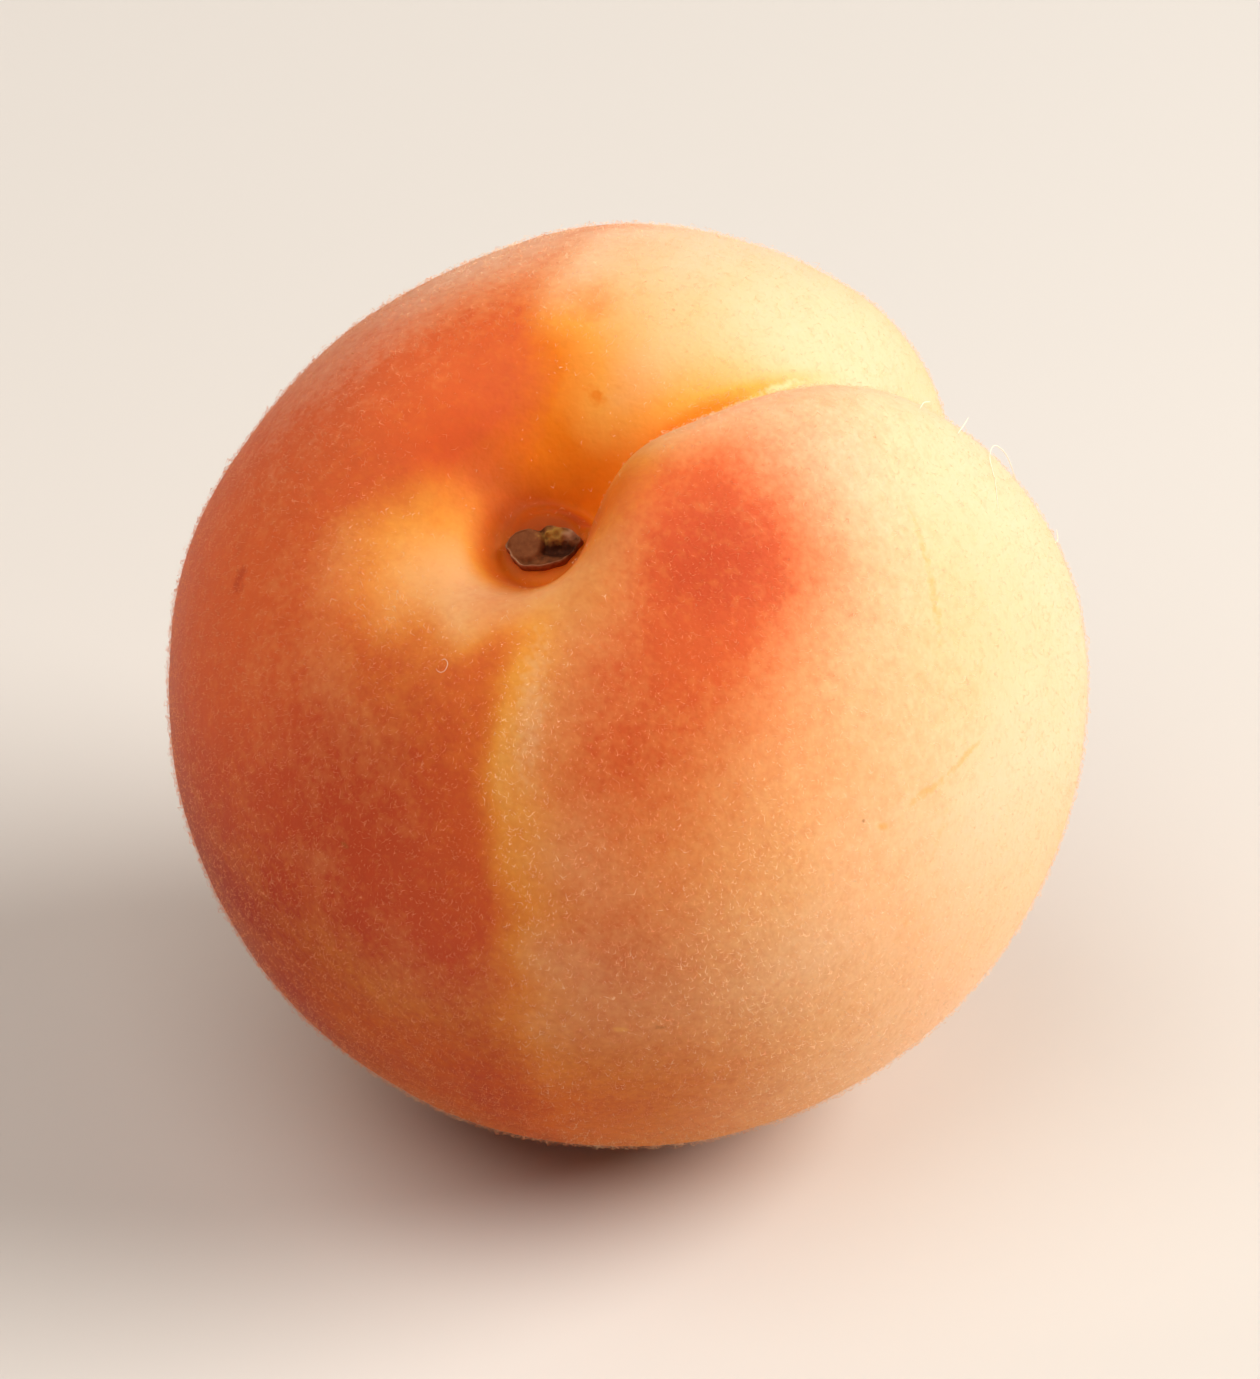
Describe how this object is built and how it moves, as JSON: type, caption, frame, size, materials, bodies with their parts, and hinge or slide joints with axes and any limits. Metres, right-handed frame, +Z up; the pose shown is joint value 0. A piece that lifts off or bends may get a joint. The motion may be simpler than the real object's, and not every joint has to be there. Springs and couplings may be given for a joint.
{
  "type": "apricot",
  "caption": "Whole ripe apricot with a stem cavity, a suture groove and a dried stem scar, lying on a small flat spot.",
  "frame": {"origin": "on the table under the middle of the fruit's bounding box", "axes": "+Z up; the stem end leans towards -Y, 35.5 degrees from the vertical, and the suture runs down the +X side"},
  "size_m": [0.0446, 0.0456, 0.0443],
  "materials": {
    "skin": "velvety fruit skin, cream yellow to orange with a red blush on the cheeks, under a fine pale fuzz",
    "dried_stem": "dry fibrous grey-brown plant tissue with a paler papery rim"
  },
  "bodies": {
    "root": {"fruit": "skin", "stem_scar": "dried_stem"}
  },
  "joints": []
}
